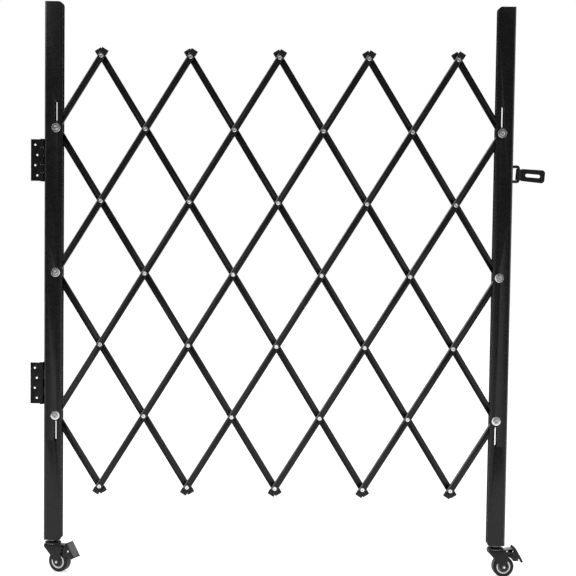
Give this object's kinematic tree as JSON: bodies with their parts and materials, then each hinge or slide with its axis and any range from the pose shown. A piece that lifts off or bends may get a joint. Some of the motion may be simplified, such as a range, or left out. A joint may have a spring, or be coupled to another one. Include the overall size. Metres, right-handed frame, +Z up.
{
  "type": "expandable safety barrier",
  "caption": "Folding scissor gate: riveted black channel lattice between steel channel posts, with wall hinges, a swinging slotted hasp and braked swivel casters.",
  "frame": {"origin": "centre of the part's box at floor level, under the wheels, with the barrier fully open and closed in line", "axes": "+Z up, +X from the hinge side to the hasp side, +Y to the back, so the bolt heads and the swing side face -Y"},
  "size_m": [1.2248, 0.0656, 1.3665],
  "materials": {
    "post_paint": "black powder coat, satin",
    "bar_paint": "black powder coat, satin",
    "hinge_paint": "black powder coat, satin",
    "hasp_paint": "black powder coat, satin",
    "caster_paint": "black coating, semi-gloss",
    "cap_plastic": "moulded, matt",
    "zinc": "bright zinc plating",
    "tread": "moulded, satin"
  },
  "bodies": {
    "wall_leaves": {"upper_wall_leaf": "hinge_paint", "lower_wall_leaf": "hinge_paint"},
    "left_post": {"left_post": "post_paint", "upper_post_leaf": "hinge_paint", "lower_post_leaf": "hinge_paint", "left_middle_bolt": "zinc", "left_caster_mount": "zinc"},
    "front_bar_1": {"front_bar_1": "bar_paint", "front_bar_1_top_cap": "cap_plastic"},
    "back_bar_1": {"back_bar_1": "bar_paint", "back_bar_1_foot_cap": "cap_plastic"},
    "front_bar_2": {"front_bar_2": "bar_paint", "front_bar_2_top_cap": "cap_plastic"},
    "back_bar_2": {"back_bar_2": "bar_paint", "back_bar_2_foot_cap": "cap_plastic"},
    "front_bar_3": {"front_bar_3": "bar_paint", "front_bar_3_top_cap": "cap_plastic", "left_bottom_bolt": "zinc"},
    "back_bar_3": {"back_bar_3": "bar_paint", "back_bar_3_foot_cap": "cap_plastic", "left_top_bolt": "zinc"},
    "front_bar_4": {"front_bar_4": "bar_paint", "front_bar_4_top_cap": "cap_plastic", "front_bar_4_foot_cap": "cap_plastic"},
    "back_bar_4": {"back_bar_4": "bar_paint", "back_bar_4_top_cap": "cap_plastic", "back_bar_4_foot_cap": "cap_plastic"},
    "front_bar_5": {"front_bar_5": "bar_paint", "front_bar_5_top_cap": "cap_plastic", "front_bar_5_foot_cap": "cap_plastic"},
    "back_bar_5": {"back_bar_5": "bar_paint", "back_bar_5_top_cap": "cap_plastic", "back_bar_5_foot_cap": "cap_plastic"},
    "front_bar_6": {"front_bar_6": "bar_paint", "front_bar_6_foot_cap": "cap_plastic", "right_top_bolt": "zinc"},
    "back_bar_6": {"back_bar_6": "bar_paint", "back_bar_6_top_cap": "cap_plastic", "right_bottom_bolt": "zinc"},
    "front_bar_7": {"front_bar_7": "bar_paint", "front_bar_7_foot_cap": "cap_plastic"},
    "back_bar_7": {"back_bar_7": "bar_paint", "back_bar_7_top_cap": "cap_plastic"},
    "front_bar_8": {"front_bar_8": "bar_paint", "front_bar_8_foot_cap": "cap_plastic"},
    "back_bar_8": {"back_bar_8": "bar_paint", "back_bar_8_top_cap": "cap_plastic"},
    "right_post": {"right_post": "post_paint", "right_middle_bolt": "zinc", "hasp_staple": "hasp_paint", "right_caster_mount": "zinc"},
    "hasp_tab": {"hasp_tab": "hasp_paint"},
    "left_caster_fork": {"left_caster_fork": "caster_paint", "left_caster_axle": "zinc"},
    "left_caster_wheel": {"left_caster_wheel": "tread"},
    "left_caster_pedal": {"left_caster_pedal": "caster_paint"},
    "right_caster_fork": {"right_caster_fork": "caster_paint", "right_caster_axle": "zinc"},
    "right_caster_wheel": {"right_caster_wheel": "tread"},
    "right_caster_pedal": {"right_caster_pedal": "caster_paint"}
  },
  "joints": [
    {"name": "gate_swing", "type": "hinge", "parent": "wall_leaves", "child": "left_post", "pos_m": [-0.58566, -0.00622, 0.72474], "axis": [0, 0, -1], "range_deg": [-15, 170]},
    {"name": "fold", "type": "hinge", "parent": "left_post", "child": "front_bar_2", "pos_m": [-0.55256, 0.00778, 0.72474], "axis": [0, -1, 0], "range_deg": [0, 27.9]},
    {"name": "back_bar_2_pivot", "type": "hinge", "parent": "left_post", "child": "back_bar_2", "pos_m": [-0.55256, 0.00778, 0.72474], "axis": [0, 1, 0], "range_deg": [-1, 29]},
    {"name": "back_bar_3_pivot", "type": "hinge", "parent": "front_bar_2", "child": "back_bar_3", "pos_m": [-0.44662, 0.00778, 0.89673], "axis": [0, 1, 0], "range_deg": [-1, 57]},
    {"name": "back_bar_4_pivot", "type": "hinge", "parent": "front_bar_2", "child": "back_bar_4", "pos_m": [-0.34069, 0.00778, 1.06872], "axis": [0, 1, 0], "range_deg": [-1, 57]},
    {"name": "back_bar_5_pivot", "type": "hinge", "parent": "front_bar_2", "child": "back_bar_5", "pos_m": [-0.23475, 0.00778, 1.24072], "axis": [0, 1, 0], "range_deg": [-1, 57]},
    {"name": "front_bar_3_pivot", "type": "hinge", "parent": "back_bar_2", "child": "front_bar_3", "pos_m": [-0.44662, 0.00778, 0.55274], "axis": [0, -1, 0], "range_deg": [-1, 57]},
    {"name": "front_bar_4_pivot", "type": "hinge", "parent": "back_bar_2", "child": "front_bar_4", "pos_m": [-0.34069, 0.00778, 0.38075], "axis": [0, -1, 0], "range_deg": [-1, 57]},
    {"name": "front_bar_5_pivot", "type": "hinge", "parent": "back_bar_2", "child": "front_bar_5", "pos_m": [-0.23475, 0.00778, 0.20876], "axis": [0, -1, 0], "range_deg": [-1, 57]},
    {"name": "front_bar_6_pivot", "type": "hinge", "parent": "back_bar_5", "child": "front_bar_6", "pos_m": [0.18899, 0.00778, 0.55274], "axis": [0, -1, 0], "range_deg": [-1, 57]},
    {"name": "front_bar_7_pivot", "type": "hinge", "parent": "back_bar_5", "child": "front_bar_7", "pos_m": [0.29492, 0.00778, 0.38075], "axis": [0, -1, 0], "range_deg": [-1, 57]},
    {"name": "front_bar_8_pivot", "type": "hinge", "parent": "back_bar_5", "child": "front_bar_8", "pos_m": [0.40086, 0.00778, 0.20876], "axis": [0, -1, 0], "range_deg": [-1, 57]},
    {"name": "back_bar_6_pivot", "type": "hinge", "parent": "front_bar_5", "child": "back_bar_6", "pos_m": [0.18899, 0.00778, 0.89673], "axis": [0, 1, 0], "range_deg": [-1, 57]},
    {"name": "back_bar_7_pivot", "type": "hinge", "parent": "front_bar_5", "child": "back_bar_7", "pos_m": [0.29492, 0.00778, 1.06872], "axis": [0, 1, 0], "range_deg": [-1, 57]},
    {"name": "back_bar_8_pivot", "type": "hinge", "parent": "front_bar_5", "child": "back_bar_8", "pos_m": [0.40086, 0.00778, 1.24072], "axis": [0, 1, 0], "range_deg": [-1, 57]},
    {"name": "back_bar_1_pivot", "type": "hinge", "parent": "front_bar_4", "child": "back_bar_1", "pos_m": [-0.44662, 0.00778, 0.20876], "axis": [0, 1, 0], "range_deg": [-1, 57]},
    {"name": "front_bar_1_pivot", "type": "hinge", "parent": "back_bar_4", "child": "front_bar_1", "pos_m": [-0.44662, 0.00778, 1.24072], "axis": [0, -1, 0], "range_deg": [-1, 57]},
    {"name": "right_post_pivot", "type": "hinge", "parent": "front_bar_7", "child": "right_post", "pos_m": [0.50679, 0.00778, 0.72474], "axis": [0, 1, 0], "range_deg": [-1, 29]},
    {"name": "hasp_swing", "type": "hinge", "parent": "right_post", "child": "hasp_tab", "pos_m": [0.5488, 0.00778, 0.97244], "axis": [0, 0, 1], "range_deg": [-110, 110]},
    {"name": "left_caster_swivel", "type": "hinge", "parent": "left_post", "child": "left_caster_fork", "pos_m": [-0.55856, 0.00778, 0.077], "axis": [0, 0, 1], "continuous": true},
    {"name": "left_wheel_spin", "type": "hinge", "parent": "left_caster_fork", "child": "left_caster_wheel", "pos_m": [-0.54094, 0.00066, 0.0254], "axis": [0.3746, 0.9272, 0], "continuous": true},
    {"name": "left_brake", "type": "hinge", "parent": "left_caster_fork", "child": "left_caster_pedal", "pos_m": [-0.51869, -0.00833, 0.0552], "axis": [0.3746, 0.9272, 0], "range_deg": [0, 14]},
    {"name": "right_caster_swivel", "type": "hinge", "parent": "right_post", "child": "right_caster_fork", "pos_m": [0.5128, 0.00778, 0.077], "axis": [0, 0, 1], "continuous": true},
    {"name": "right_wheel_spin", "type": "hinge", "parent": "right_caster_fork", "child": "right_caster_wheel", "pos_m": [0.53165, 0.0101, 0.0254], "axis": [-0.1219, 0.9925, 0], "continuous": true},
    {"name": "right_brake", "type": "hinge", "parent": "right_caster_fork", "child": "right_caster_pedal", "pos_m": [0.55548, 0.01302, 0.0552], "axis": [-0.1219, 0.9925, 0], "range_deg": [0, 14]}
  ],
  "couplings": [
    {"joint": "back_bar_2_pivot", "follows": "fold", "ratio": 1},
    {"joint": "back_bar_3_pivot", "follows": "fold", "ratio": 2},
    {"joint": "back_bar_4_pivot", "follows": "fold", "ratio": 2},
    {"joint": "back_bar_5_pivot", "follows": "fold", "ratio": 2},
    {"joint": "front_bar_3_pivot", "follows": "fold", "ratio": 2},
    {"joint": "front_bar_4_pivot", "follows": "fold", "ratio": 2},
    {"joint": "front_bar_5_pivot", "follows": "fold", "ratio": 2},
    {"joint": "front_bar_6_pivot", "follows": "fold", "ratio": 2},
    {"joint": "front_bar_7_pivot", "follows": "fold", "ratio": 2},
    {"joint": "front_bar_8_pivot", "follows": "fold", "ratio": 2},
    {"joint": "back_bar_6_pivot", "follows": "fold", "ratio": 2},
    {"joint": "back_bar_7_pivot", "follows": "fold", "ratio": 2},
    {"joint": "back_bar_8_pivot", "follows": "fold", "ratio": 2},
    {"joint": "back_bar_1_pivot", "follows": "fold", "ratio": 2},
    {"joint": "front_bar_1_pivot", "follows": "fold", "ratio": 2},
    {"joint": "right_post_pivot", "follows": "fold", "ratio": 1}
  ]
}
